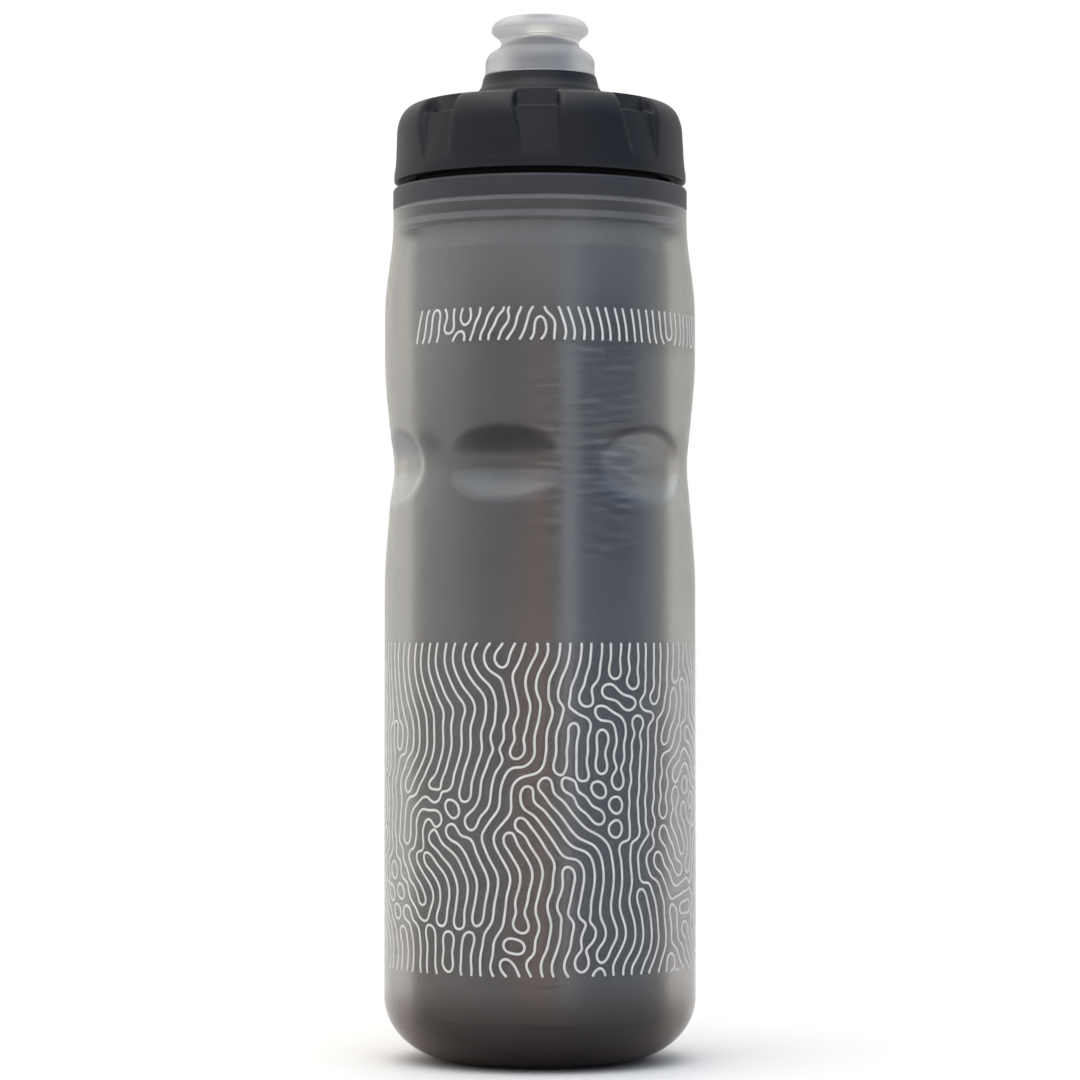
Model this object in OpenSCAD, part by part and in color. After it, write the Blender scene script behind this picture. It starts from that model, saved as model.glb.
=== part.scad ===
// Double-wall squeeze bottle for a bicycle cage: translucent outer shell, foil-wrapped inner
// liner, screw cap with grip recesses, and a push-pull nozzle with a soft mouthpiece.
// The origin is the centre of the base; +Z runs up the axis, and the front faces -Y.

/* [Outer shell] */
// Largest diameter, the size that bottle cages are made for
body_d = 74; // [72:0.5:76]
// Wall thickness of the shell
shell_wall = 1.1; // [0.9:0.1:1.3]
// Height of the shell's top edge
shell_top = 202.1; // [200:0.1:204]
// Diameter of the shell's top edge
rim_d = 70.1; // [69.8:0.1:70.6]
// Diameter of the flat part of the base
base_d = 38; // [32:1:44]
// Height of the rounded base corner
base_corner = 15; // [10:1:18]
// How far the middle of the base is pushed in
punt = 1.6; // [1:0.1:2.5]

/* [Finger waist] */
// Height of the narrowest point
waist_z = 141.4; // [138:0.1:145]
// How far the waist is drawn in
waist_depth = 1.6; // [1:0.1:2]
// Number of finger dimples round the waist
dimple_count = 6; // [4:1:6]
// Half the width of a dimple, measured straight across
dimple_half_w = 13.6; // [11:0.1:14]
// Half the height of a dimple
dimple_half_h = 8.4; // [6:0.1:10]
// Turn of the first dimple from the front, positive to the right
dimple_turn = -14.4; // [-30:0.1:30]

/* [Inner liner] */
// Outer diameter of the liner's body
liner_d = 60.8; // [58:0.1:61]
// Wall thickness of the liner
liner_wall = 1; // [0.8:0.1:1.2]
// Height of the liner's underside
liner_bottom = 3.4; // [3:0.1:5]
// Outer diameter of the neck, under the thread
neck_d = 58.4; // [58:0.1:58.6]
// Wall thickness of the neck
neck_wall = 1.6; // [1.4:0.1:2]
// Height of the mouth's rim
mouth_z = 220.5; // [220:0.1:220.6]
// Thickness of the reflective wrap
foil_t = 0.25; // [0.2:0.05:0.3]

/* [Screw thread] */
// Rise of the thread in one turn
pitch = 6; // [5.5:0.1:6.5]
// Number of turns that engage
thread_turns = 1.25; // [1:0.05:1.3]
// Radial height of a thread ridge
thread_h = 1.55; // [1.2:0.05:1.6]

/* [Cap] */
// Diameter of the cap's lower edge
cap_d = 69.7; // [69.4:0.1:70]
// Height of the cap's lower edge
cap_bottom = 208.7; // [208.5:0.1:209]
// Diameter of the bore that holds the thread
cap_bore_d = 62.4; // [62.3:0.1:62.6]
// Number of grip recesses
grip_count = 8; // [6:1:10]
// Width of a grip recess, as an angle about the axis
grip_angle = 16; // [12:1:20]
// Turn of the first grip recess from the front, positive to the right
grip_turn = -1.5; // [-20:0.5:20]

/* [Nozzle] */
// Bore of the sleeve that slides on the post
sleeve_bore_d = 13.1; // [13:0.05:13.2]
// Outer diameter of the sleeve
sleeve_d = 17.4; // [17:0.1:17.6]
// Height of the sleeve's top when it is pushed down
sleeve_top = 242.1; // [241.8:0.1:242.4]
// Outlet hole in the top of the sleeve
outlet_d = 6.8; // [6:0.1:7]
// Largest diameter of the mouthpiece's lip
lip_d = 23.2; // [22:0.1:24]
// Diameter of the mouthpiece's waist, where teeth hold it
bite_d = 18.5; // [18.2:0.1:19]
// Travel of the nozzle from shut to open
nozzle_travel = 6; // [5:0.5:6]

/* [Hidden] */
$fn = 96;
eps = 0.01;

body_r = body_d / 2;
rim_r = rim_d / 2;
liner_r = liner_d / 2;
neck_r = neck_d / 2;
mouth_r = neck_r - neck_wall;
front = -90;

// Shell: heights between which the waist and the shoulder run
waist_lo = waist_z - 30.5;
waist_hi = waist_z + 25;
shoulder_lo = 177;
shoulder_hi = 199;

// Dimple: a cylinder lying across the waist, which cuts an oval of the stated size
waist_r = body_r - waist_depth;
dimple_depth = waist_r - sqrt(pow(waist_r, 2) - pow(dimple_half_w, 2));
dimple_rho = (pow(dimple_half_h, 2) + pow(dimple_depth, 2)) / (2 * dimple_depth);

// Collar: an outer ring between shell and cap, and a skirt that snaps into the shell
collar_top = 207.2;
collar_r = body_r - 1.9;
skirt_bottom = 196.4;
skirt_r = rim_r - shell_wall - 1;
bead_r = rim_r - shell_wall - 0.1;
skirt_bore = skirt_r - 1;
web_bottom = 205;
flange_r = skirt_bore - 0.3;

// Cap: the land that presses the seal, and the domed corner
land_z = mouth_z + 1.5;
lip_r = mouth_r - 0.4;
dome_rx = 5;
dome_rz = 7.4;
dome_z = 219.7;
dome_r = cap_d / 2 - 0.45 - dome_rx;
spout_foot = 229.2;
spout_foot_r = 15;
spout_top = 234.2;
spout_top_r = 13.45;

// Nozzle: the guide bore in the cap, and the sleeve's stop bead
sleeve_r = sleeve_d / 2;
guide_r = sleeve_r + 0.25;
bead_h = 1.5;
stop_r = sleeve_r + 0.65;
well_r = stop_r + 0.25;
tower_r = well_r + 1.6;
sleeve_bottom = 224.6;
stop_z = sleeve_bottom + bead_h + nozzle_travel + 0.2;
post_flange_z = 222.3;
post_flange_t = 1.6;
post_r = sleeve_bore_d / 2 - 0.15;
post_bore = 4.4;
window_lo = 236.4;
window_hi = 240.2;
plug_r = outlet_d / 2 - 0.1;
ring_z = 229.5;
ring_wire = 1.4;
ring_floor = post_r - ring_wire + 0.1;

function ease(t) = (1 - cos(180 * min(1, max(0, t)))) / 2;

// Outer radius of the shell at a height above the base corner
function shell_r(z) =
    z < waist_z ? body_r - waist_depth * ease((z - waist_lo) / (waist_z - waist_lo)) :
    z < waist_hi ? body_r - waist_depth * ease((waist_hi - z) / (waist_hi - waist_z)) :
    body_r - (body_r - rim_r) * ease((z - shoulder_lo) / (shoulder_hi - shoulder_lo));

// Quarter or part of an ellipse, from angle a to angle b
function arc(cx, cz, rx, rz, a, b, n = 10) =
    [for (i = [0:n]) let (t = a + (b - a) * i / n) [cx + rx * cos(t), cz + rz * sin(t)]];

function span(a, b, n) = [for (i = [0:n]) a + (b - a) * i / n];

// Half outline of the shell, drawn in by inset from its outer face
function shell_outline(inset, top) = concat(
    [[0, punt + inset], [base_d / 4, punt * 0.8 + inset], [base_d / 3, inset]],
    arc(base_d / 2, base_corner, body_r - base_d / 2 - inset, base_corner - inset, -90, 0, 12),
    [for (z = span(waist_lo, waist_z, 12)) [shell_r(z) - inset, z]],
    [for (z = span(waist_z + 2.5, waist_hi, 9)) [shell_r(z) - inset, z]],
    [for (z = span(shoulder_lo, shoulder_hi, 10)) [shell_r(z) - inset, z]],
    [[rim_r - inset, top], [0, top]]);

// One trapezoid ridge along a helix; it tapers to nothing over its first and last steps
module thread(root, crest, z0, start, turns) {
    step = 7.5;
    n = round(turns * 360 / step);
    half_root = 1.2;
    half_crest = 0.6;
    fade = 5;
    function grow(i) = max(0.02, min(1, i / fade, (n - i) / fade));
    function ring(i) = let (
        a = start + i * step,
        z = z0 + pitch * i * step / 360,
        r = root + (crest - root) * grow(i))
        [for (p = [[root, -half_root], [r, -half_crest], [r, half_crest], [root, half_root]])
            [p[0] * cos(a), p[0] * sin(a), z + p[1]]];
    points = [for (i = [0:n]) each ring(i)];
    turned = crest < root;
    sides = [for (i = [0:n - 1], k = [0:3]) let (
        p = 4 * i + k,
        q = 4 * i + (k + 1) % 4)
        turned ? [p, p + 4, q + 4, q] : [p, q, q + 4, p + 4]];
    first = turned ? [0, 1, 2, 3] : [3, 2, 1, 0];
    last = [for (k = turned ? [3, 2, 1, 0] : [0, 1, 2, 3]) 4 * n + k];
    polyhedron(points, concat(sides, [first], [last]), convexity = 6);
}

// Cylinders across the waist that press in the dimples, larger by grow for the inside
module dimples(grow = 0) {
    for (i = [0:dimple_count - 1])
        rotate([0, 0, front + dimple_turn + i * 360 / dimple_count])
            translate([waist_r - dimple_depth + dimple_rho, 0, waist_z])
                rotate([90, 0, 0])
                    cylinder(r = dimple_rho + grow, h = 3 * dimple_half_w, center = true);
}

// Blow-moulded shell, open at the top
module outer_shell() {
    color([0.42, 0.42, 0.42, 0.6])
    difference() {
        difference() {
            rotate_extrude() polygon(shell_outline(0, shell_top));
            dimples();
        }
        difference() {
            rotate_extrude() polygon(shell_outline(shell_wall, shell_top + 1));
            dimples(shell_wall);
        }
    }
}

// Half outline of the liner, drawn in by inset from its outer face
module liner_outline(inset, neck_inset, top) {
    corner_r = 9.5;
    corner_z = 7.3;
    polygon(concat(
        [[0, liner_bottom + inset]],
        arc(liner_r - corner_r, liner_bottom + corner_z, corner_r - inset, corner_z - inset, -90, 0, 8),
        [[liner_r - inset, 192], [neck_r - neck_inset, 199], [neck_r - neck_inset, top], [0, top]]));
}

// Blow-moulded bottle that holds the drink, with a threaded neck and a flange for the collar
module inner_liner() {
    color([0.3, 0.3, 0.31])
    difference() {
        union() {
            rotate_extrude() liner_outline(0, 0, mouth_z);
            translate([0, 0, web_bottom - 2]) cylinder(r = flange_r, h = 1.8);
            thread(neck_r - 0.3, neck_r + thread_h, 211, 0, thread_turns);
        }
        rotate_extrude() liner_outline(liner_wall, neck_wall, mouth_z + 1);
    }
}

// Reflective sheet rolled round the straight part of the liner
module foil_wrap() {
    gap = 0.1;
    color([0.55, 0.55, 0.57])
    translate([0, 0, liner_bottom + 7.6])
    difference() {
        cylinder(r = liner_r + gap + foil_t, h = 180);
        translate([0, 0, -1]) cylinder(r = liner_r + gap, h = 182);
    }
}

// Ring that joins shell and liner: its skirt snaps into the shell, its web traps the flange
module neck_collar() {
    edge = 0.9;
    snap = 0.6;
    color([0.27, 0.27, 0.29])
    rotate_extrude()
    polygon(concat(
        [[skirt_r, shell_top], [collar_r, shell_top]],
        arc(collar_r - edge, collar_top - edge, edge, edge, 0, 90, 4),
        [[neck_r + 0.3, collar_top], [neck_r + 0.3, web_bottom],
         [skirt_bore, web_bottom], [skirt_bore, web_bottom - 2.2],
         [skirt_bore - snap, web_bottom - 2.8], [skirt_bore - snap, web_bottom - 3.6],
         [skirt_bore, web_bottom - 4.4], [skirt_bore, skirt_bottom],
         [bead_r - 0.3, skirt_bottom], [bead_r, skirt_bottom + 0.4], [skirt_r, skirt_bottom + 1],
         [skirt_r, 198.6], [bead_r, 199], [bead_r, 200.3], [skirt_r, 200.8]]));
}

// Flat ring in the cap that the mouth's rim presses on
module cap_seal() {
    gap = 0.05;
    color([0.75, 0.75, 0.74])
    translate([0, 0, mouth_z + gap])
    difference() {
        cylinder(r = cap_bore_d / 2 - 0.3, h = land_z - mouth_z - 2 * gap);
        translate([0, 0, -1]) cylinder(r = lip_r + 0.15, h = 4);
    }
}

// Outline of one grip recess: a sloping floor in the wall, a shelf, and a steep back up to the dome
module grip_outline() {
    polygon([[34.62, 212], [32.6, 222.7], [30.7, 223.2], [29.8, 227.2], [29.8, 232], [40, 232], [40, 212]]);
}

// Screw cap: grip recesses outside, thread, seal land and nozzle guide inside
module cap() {
    ceiling_r = lip_r - 1.3;
    color([0.12, 0.125, 0.135])
    difference() {
        union() {
            difference() {
                rotate_extrude()
                polygon(concat(
                    [[0, cap_bottom], [cap_d / 2 - 0.3, cap_bottom], [cap_d / 2, cap_bottom + 0.3],
                     [cap_d / 2, 210.4], [cap_d / 2 - 0.15, 211.5], [cap_d / 2 - 0.3, 214]],
                    arc(dome_r, dome_z, dome_rx, dome_rz, 0, 96, 12),
                    [[spout_foot_r + 1, spout_foot - 0.15], [spout_foot_r, spout_foot + 0.5],
                     [14.1, 231.6], [spout_top_r, spout_top - 0.3],
                     [spout_top_r - 0.3, spout_top], [0, spout_top]]));
                for (i = [0:grip_count - 1])
                    rotate([0, 0, front + grip_turn - grip_angle / 2 + i * 360 / grip_count])
                        rotate_extrude(angle = grip_angle) grip_outline();
                rotate_extrude()
                polygon([[0, cap_bottom - 1], [cap_bore_d / 2, cap_bottom - 1], [cap_bore_d / 2, land_z],
                         [ceiling_r, land_z], [ceiling_r, 224.4], [tower_r + 1.5, 226.6],
                         [tower_r + 1.5, 226.8], [0, 226.8]]);
            }
            rotate_extrude()
            polygon([[ceiling_r, land_z - 2.5], [lip_r - 0.4, land_z - 2.5], [lip_r, land_z - 2],
                     [lip_r, land_z + eps], [ceiling_r, land_z + eps]]);
            translate([0, 0, post_flange_z]) cylinder(r = tower_r, h = 6);
            thread(cap_bore_d / 2 + 0.3, cap_bore_d / 2 - thread_h, 210.5, 150, thread_turns);
        }
        translate([0, 0, post_flange_z - 1]) cylinder(r = well_r, h = stop_z - post_flange_z + 1);
        cylinder(r = guide_r, h = spout_top + 1);
    }
}

// Fixed post under the nozzle: a tube with side windows and a plug that shuts the outlet
module spout_post() {
    ribs = 3;
    color([0.35, 0.42, 0.48])
    difference() {
        union() {
            translate([0, 0, post_flange_z]) cylinder(r = well_r - 0.05, h = post_flange_t);
            translate([0, 0, post_flange_z]) cylinder(r = post_r, h = window_hi - post_flange_z);
            cylinder(r = plug_r, h = sleeve_top - 0.1);
        }
        translate([0, 0, -1]) cylinder(r = post_bore, h = window_hi);
        rotate_extrude()
        translate([post_r + 1, ring_z])
            square([2 * (post_r + 1 - ring_floor), ring_wire + 0.2], center = true);
        for (i = [0:ribs - 1])
            rotate([0, 0, i * 360 / ribs])
                translate([0, 0, window_lo])
                    rotate_extrude(angle = 84)
                        translate([post_bore - 1, 0]) square([post_r, window_hi - window_lo - 1]);
    }
}

// O-ring in the post's groove
module spout_o_ring() {
    color([0.08, 0.08, 0.08])
    translate([0, 0, ring_z])
    rotate_extrude()
    translate([ring_floor + ring_wire / 2, 0]) circle(d = ring_wire, $fn = 32);
}

// Rigid sleeve that slides on the post; the stop bead keeps it in the cap
module nozzle_sleeve() {
    neck = sleeve_r - 1;
    web = 1.2;
    color([0.55, 0.6, 0.65, 0.7])
    rotate_extrude()
    polygon([[sleeve_bore_d / 2, sleeve_bottom], [stop_r - 0.3, sleeve_bottom],
             [stop_r, sleeve_bottom + 0.4], [stop_r, sleeve_bottom + bead_h],
             [sleeve_r, sleeve_bottom + bead_h], [sleeve_r, sleeve_top - 3.1],
             [neck, sleeve_top - 1.9], [neck, sleeve_top], [outlet_d / 2, sleeve_top],
             [outlet_d / 2, sleeve_top - web], [sleeve_bore_d / 2, sleeve_top - web]]);
}

// Soft membrane with crossed slits, held between sleeve and mouthpiece
module flow_valve() {
    slit = 0.3;
    skin = 0.7;
    bulge = 3.7;
    color([0.8, 0.8, 0.8, 0.7])
    difference() {
        rotate_extrude()
        polygon(concat(
            [[0, sleeve_top + 0.05], [6.4, sleeve_top + 0.05], [6.4, sleeve_top + 0.85]],
            arc(0, sleeve_top + 0.85, bulge, 2.6, 0, 90, 8)));
        rotate_extrude()
        polygon(concat(
            [[0, sleeve_top - 1], [bulge - skin, sleeve_top - 1]],
            arc(0, sleeve_top + 0.85, bulge - skin, 2.6 - skin, 0, 90, 8)));
        for (a = [0, 90])
            rotate([0, 0, a])
                translate([0, 0, sleeve_top + 3])
                    cube([3.6, slit, 4], center = true);
    }
}

// Soft mouthpiece: lip on top, bite waist, and a skirt that grips the sleeve
module mouthpiece() {
    lip_z = 245.3;
    lip_rx = 4.36;
    lip_up = 2.97;
    lip_down = 2.03;
    bite_z = 242.2;
    grip = sleeve_r + 0.05;
    color([0.75, 0.76, 0.77, 0.7])
    rotate_extrude()
    polygon(concat(
        [[grip, 234.4], [13.2, 234.4]],
        arc(9.85, 237, 3.25, 3.5, 0, 68, 7),
        arc(bite_d / 2 + 1.6, bite_z, 1.6, 1.45, 230, 130, 6),
        arc(lip_d / 2 - lip_rx, lip_z, lip_rx, lip_down, -60, 0, 6),
        arc(lip_d / 2 - lip_rx, lip_z, lip_rx, lip_up, 0, 90, 8),
        arc(5.4, lip_z + lip_up - 1.4, 1.5, 1.4, 90, 180, 4),
        [[3.9, sleeve_top + 1.5], [3.9, sleeve_top + 0.95], [6.5, sleeve_top + 0.95],
         [6.5, sleeve_top + 0.05], [sleeve_r - 0.95, sleeve_top + 0.05],
         [sleeve_r - 0.95, sleeve_top - 1.85], [grip, sleeve_top - 3.05]]));
}

outer_shell();
inner_liner();
foil_wrap();
neck_collar();
cap_seal();
cap();
spout_post();
spout_o_ring();
nozzle_sleeve();
flow_valve();
mouthpiece();
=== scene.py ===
"""Looks of the insulated squeeze bottle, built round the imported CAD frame. Lengths are in metres."""

import math

import bmesh
import bpy
import numpy as np
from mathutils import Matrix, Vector


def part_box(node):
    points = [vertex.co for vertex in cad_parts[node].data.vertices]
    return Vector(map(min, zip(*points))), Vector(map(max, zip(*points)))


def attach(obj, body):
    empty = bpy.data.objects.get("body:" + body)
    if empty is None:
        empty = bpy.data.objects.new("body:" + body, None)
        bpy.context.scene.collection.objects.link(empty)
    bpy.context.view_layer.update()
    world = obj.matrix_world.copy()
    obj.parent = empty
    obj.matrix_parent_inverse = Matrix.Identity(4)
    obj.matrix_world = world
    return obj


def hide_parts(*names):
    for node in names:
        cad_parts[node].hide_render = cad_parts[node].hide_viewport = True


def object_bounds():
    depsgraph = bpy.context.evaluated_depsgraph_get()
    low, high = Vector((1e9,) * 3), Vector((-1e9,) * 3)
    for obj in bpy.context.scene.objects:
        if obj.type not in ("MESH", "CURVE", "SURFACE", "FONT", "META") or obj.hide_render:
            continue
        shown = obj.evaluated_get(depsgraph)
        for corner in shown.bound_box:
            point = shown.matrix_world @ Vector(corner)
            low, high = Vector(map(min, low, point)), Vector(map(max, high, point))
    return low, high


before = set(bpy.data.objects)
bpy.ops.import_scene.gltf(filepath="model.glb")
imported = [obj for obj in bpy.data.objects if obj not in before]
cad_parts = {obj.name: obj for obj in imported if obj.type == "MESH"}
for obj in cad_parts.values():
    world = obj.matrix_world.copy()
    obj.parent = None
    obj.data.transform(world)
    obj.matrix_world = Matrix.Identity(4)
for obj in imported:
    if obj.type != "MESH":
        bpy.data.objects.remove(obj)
cad_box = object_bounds()

MM = 0.001
FRONT = -math.pi / 2

# ---------------------------------------------------------------- driving dimensions

SHELL_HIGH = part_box("outer_shell")[1]
COLLAR_LOW, COLLAR_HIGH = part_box("neck_collar")
CAP_LOW, CAP_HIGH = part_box("cap")
FOIL_LOW, FOIL_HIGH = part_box("foil_wrap")
MOUTH_LOW, MOUTH_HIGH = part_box("mouthpiece")
SLEEVE_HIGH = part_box("nozzle_sleeve")[1]

BODY_R = SHELL_HIGH.x
RIM_R = BODY_R - 1.95 * MM
SHELL_WALL = 1.1 * MM
BASE_R = 19 * MM
CORNER_H = 15 * MM
PUNT = 1.6 * MM
PUNT_R = 0.66 * BASE_R
WAIST_Z = 141.4 * MM
WAIST_DEPTH = 1.6 * MM
WAIST_LO = WAIST_Z - 30.5 * MM
WAIST_HI = WAIST_Z + 25 * MM
SHOULDER_LO = 177 * MM
SHOULDER_HI = 199 * MM

# The dimples go evenly round the waist; their width and height here are half sizes
DIMPLE_COUNT = 6
DIMPLE_TURN = math.radians(-14.4)
DIMPLE_W = 13.6 * MM
DIMPLE_H = 7.6 * MM
DIMPLE_Z = WAIST_Z - 0.9 * MM

# Lowest and highest points of the printed bands
LOWER_BAND = (22.6 * MM, 98.8 * MM)
UPPER_BAND = (168.4 * MM, 176.1 * MM)
INK_WIDTH = 0.6 * MM
INK_LIFT = 0.04 * MM

# Spacing of the points along a printed line, and of the grid that the lines grow on
INK_STEP = 0.55 * MM
PRINT_CELL = 0.42 * MM

# The back, where the upper band isn't printed: degrees from the front, counted to the right
UNPRINTED = (150, 309)

# ---------------------------------------------------------------- mesh tools


def smoothstep(low, high, x):
    t = np.clip((x - low) / (high - low), 0, 1)
    return t * t * (3 - 2 * t)


def ease(t):
    return (1 - np.cos(np.pi * np.clip(t, 0, 1))) / 2


def arc(cx, cz, rx, rz, start, end, steps):
    """Points on an ellipse, from one angle to another in degrees, as (radius, height)."""
    angles = np.radians(np.linspace(start, end, steps + 1))
    return [(cx + rx * math.cos(a), cz + rz * math.sin(a)) for a in angles]


def densify(outline, step):
    """The outline with points added along its straight stretches, no further apart than step."""
    result = []
    for (r0, z0), (r1, z1) in zip(outline[:-1], outline[1:]):
        count = max(1, math.ceil(math.hypot(r1 - r0, z1 - z0) / step))
        result += [(r0 + (r1 - r0) * i / count, z0 + (z1 - z0) * i / count) for i in range(count)]
    return result + [outline[-1]]


def add_object(name, vertices, faces, smooth_angle=40):
    mesh = bpy.data.meshes.new(name)
    mesh.from_pydata([tuple(v) for v in vertices], [], faces)
    bm = bmesh.new()
    bm.from_mesh(mesh)
    bmesh.ops.recalc_face_normals(bm, faces=bm.faces)
    bm.to_mesh(mesh)
    bm.free()
    mesh.polygons.foreach_set("use_smooth", [True] * len(mesh.polygons))
    mesh.set_sharp_from_angle(angle=math.radians(smooth_angle))
    obj = bpy.data.objects.new(name, mesh)
    bpy.context.scene.collection.objects.link(obj)
    return obj


def grid_faces(rows, columns, loop):
    """Quads between consecutive rows of a grid whose columns run once round the axis."""
    faces = []
    for i in range(rows if loop else rows - 1):
        a = i * columns
        b = (i + 1) % rows * columns
        faces += [(a + j, a + (j + 1) % columns, b + (j + 1) % columns, b + j) for j in range(columns)]
    return faces


def skin(name, rows, loop=False, poles=None, smooth_angle=40):
    """A closed mesh from rows of points round the axis: a loop of rows, or rows between two poles."""
    count, columns, _ = rows.shape
    vertices = list(rows.reshape(-1, 3))
    faces = grid_faces(count, columns, loop)
    if poles:
        for pole, row in zip(poles, (0, count - 1)):
            tip = len(vertices)
            vertices.append((0, 0, pole))
            base = row * columns
            faces += [(base + j, base + (j + 1) % columns, tip) for j in range(columns)]
    return add_object(name, vertices, faces, smooth_angle)


def round_axis(radius, angle, z):
    """Rows of points round the axis, from arrays that fit one grid."""
    radius, angle, z = np.broadcast_arrays(radius, angle, z)
    return np.stack([radius * np.cos(angle), radius * np.sin(angle), z], axis=2)


def full_turn(columns):
    return np.linspace(0, 2 * np.pi, columns, endpoint=False)


def revolve(outline, angles):
    """Rows of points for an outline of (radius, height) at each of the angles."""
    r, z = np.array(outline).T
    return round_axis(r[:, None], angles[None, :], z[:, None])


# ---------------------------------------------------------------- material tools


def material(name, **sockets):
    """A new node material; the sockets of its Principled shader are given by name, with _ for a space."""
    mat = bpy.data.materials.new(name)
    mat.use_nodes = True
    shader = mat.node_tree.nodes["Principled BSDF"]
    for key, value in sockets.items():
        shader.inputs[key.replace("_", " ")].default_value = value
    return mat


def node(mat, kind, **settings):
    made = mat.node_tree.nodes.new(kind)
    for key, value in settings.items():
        setattr(made, key, value)
    return made


def link(mat, output, target):
    mat.node_tree.links.new(output, target)


def rgba(colour):
    """A colour with full alpha; one number is a grey."""
    red, green, blue = colour if isinstance(colour, tuple) else (colour, colour, colour)
    return red, green, blue, 1


def place(mat, stretch=(1, 1, 1)):
    """Object coordinates, stretched per axis."""
    coordinates = node(mat, "ShaderNodeTexCoord")
    mapping = node(mat, "ShaderNodeMapping")
    mapping.inputs["Scale"].default_value = stretch
    link(mat, coordinates.outputs["Object"], mapping.inputs["Vector"])
    return mapping.outputs["Vector"]


def noise(mat, scale, detail=3, roughness=0.5, stretch=(1, 1, 1)):
    made = node(mat, "ShaderNodeTexNoise")
    made.inputs["Scale"].default_value = scale
    made.inputs["Detail"].default_value = detail
    made.inputs["Roughness"].default_value = roughness
    link(mat, place(mat, stretch), made.inputs["Vector"])
    return made.outputs["Fac"]


def ramp(mat, factor, stops, interpolation="LINEAR"):
    """A colour ramp with stops of (position, colour)."""
    made = node(mat, "ShaderNodeValToRGB")
    made.color_ramp.interpolation = interpolation
    elements = made.color_ramp.elements
    while len(elements) < len(stops):
        elements.new(0.5)
    for element, (position, colour) in zip(elements, stops):
        element.position = position
        element.color = rgba(colour)
    link(mat, factor, made.inputs["Fac"])
    return made.outputs["Color"]


def remap(mat, value, start, end, low=0, high=1, interpolation="LINEAR"):
    """Maps start to end onto low to high, and holds the value beyond them."""
    made = node(mat, "ShaderNodeMapRange", interpolation_type=interpolation)
    limits = {"From Min": start, "From Max": end, "To Min": low, "To Max": high}
    for socket, limit in limits.items():
        made.inputs[socket].default_value = limit
    link(mat, value, made.inputs["Value"])
    return made.outputs["Result"]


def spread(mat, factor, low, high):
    """Maps a factor of 0.3 to 0.7, where noise mostly lies, onto low to high."""
    return remap(mat, factor, 0.3, 0.7, low, high)


def blend(mat, share, first, second, kind="MIX"):
    """Mixes two colours by a share; the share and each colour are an output or a constant."""
    made = node(mat, "ShaderNodeMix", data_type="RGBA", blend_type=kind)
    for socket, value in {"Factor": share, "A": first, "B": second}.items():
        if isinstance(value, bpy.types.NodeSocket):
            link(mat, value, made.inputs[socket])
        else:
            made.inputs[socket].default_value = value if socket == "Factor" else rgba(value)
    return made.outputs["Result"]


def multiply(mat, first, second):
    return blend(mat, 1, first, second, "MULTIPLY")


def axes(mat, vector):
    """The X, Y and Z of a vector."""
    split = node(mat, "ShaderNodeSeparateXYZ")
    link(mat, vector, split.inputs[0])
    return split.outputs


def calculate(mat, kind, operation, first, second=None):
    """One step of maths on numbers or vectors; kind is the node's type."""
    made = node(mat, kind, operation=operation)
    link(mat, first, made.inputs[0])
    if isinstance(second, bpy.types.NodeSocket):
        link(mat, second, made.inputs[1])
    elif second is not None:
        made.inputs[1].default_value = second
    return made.outputs["Value"]


def azimuth(mat, vector):
    """The angle round the axis of a vector, in radians from the front, positive to the right."""
    side = axes(mat, vector)
    return calculate(mat, "ShaderNodeMath", "ARCTAN2", side["X"],
                     calculate(mat, "ShaderNodeMath", "MULTIPLY", side["Y"], -1))


def gradient(mat, value, stops, unit, interpolation="LINEAR"):
    """A colour that changes with a value; stops are (value in units, colour)."""
    low, high = stops[0][0], stops[-1][0]
    shares = [((at - low) / (high - low), colour) for at, colour in stops]
    return ramp(mat, remap(mat, value, low * unit, high * unit), shares, interpolation)


def by_height(mat, stops):
    """A colour that changes with height; stops are (height in mm, colour)."""
    return gradient(mat, axes(mat, place(mat))["Z"], stops, MM)


def by_azimuth(mat, stops):
    """A colour that changes round the front; stops are (degrees to the right of it, colour)."""
    return gradient(mat, azimuth(mat, place(mat)), stops, math.radians(1))


def facing_up(mat):
    """0 where a wall's outer side faces down, 0.5 where it is upright, 1 where it faces up; a wall's inner
    side counts as its outer one."""
    normal = node(mat, "ShaderNodeNewGeometry").outputs["Normal"]
    outward = calculate(mat, "ShaderNodeVectorMath", "DOT_PRODUCT", normal, place(mat, (1, 1, 0)))
    side = calculate(mat, "ShaderNodeMath", "SIGN", outward)
    tilt = calculate(mat, "ShaderNodeMath", "MULTIPLY", axes(mat, normal)["Z"], side)
    return remap(mat, tilt, -1, 1)


def painted_highlight_mask(mat):
    """Mask of the painted highlight: 1 inside one dimple and the one across from it, fading to 0 at their
    edges.
    """
    face = node(mat, "ShaderNodeMapping", vector_type="TEXTURE")
    face.inputs["Location"].default_value = (0, 0, DIMPLE_Z)
    face.inputs["Rotation"].default_value = (0, 0, FRONT + DIMPLE_TURN + math.radians(360 / DIMPLE_COUNT))
    face.inputs["Scale"].default_value = (1, DIMPLE_W, DIMPLE_H)
    link(mat, place(mat), face.inputs["Vector"])
    reach = calculate(mat, "ShaderNodeVectorMath", "LENGTH", face.outputs["Vector"])
    return remap(mat, reach, 1.06, 0.82, interpolation="SMOOTHSTEP")


def paint(mat, socket, output):
    link(mat, output, mat.node_tree.nodes["Principled BSDF"].inputs[socket])


def relief(mat, height, distance):
    """A bump of half strength."""
    made = node(mat, "ShaderNodeBump")
    made.inputs["Distance"].default_value = distance
    made.inputs["Strength"].default_value = 0.5
    link(mat, height, made.inputs["Height"])
    paint(mat, "Normal", made.outputs["Normal"])


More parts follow.
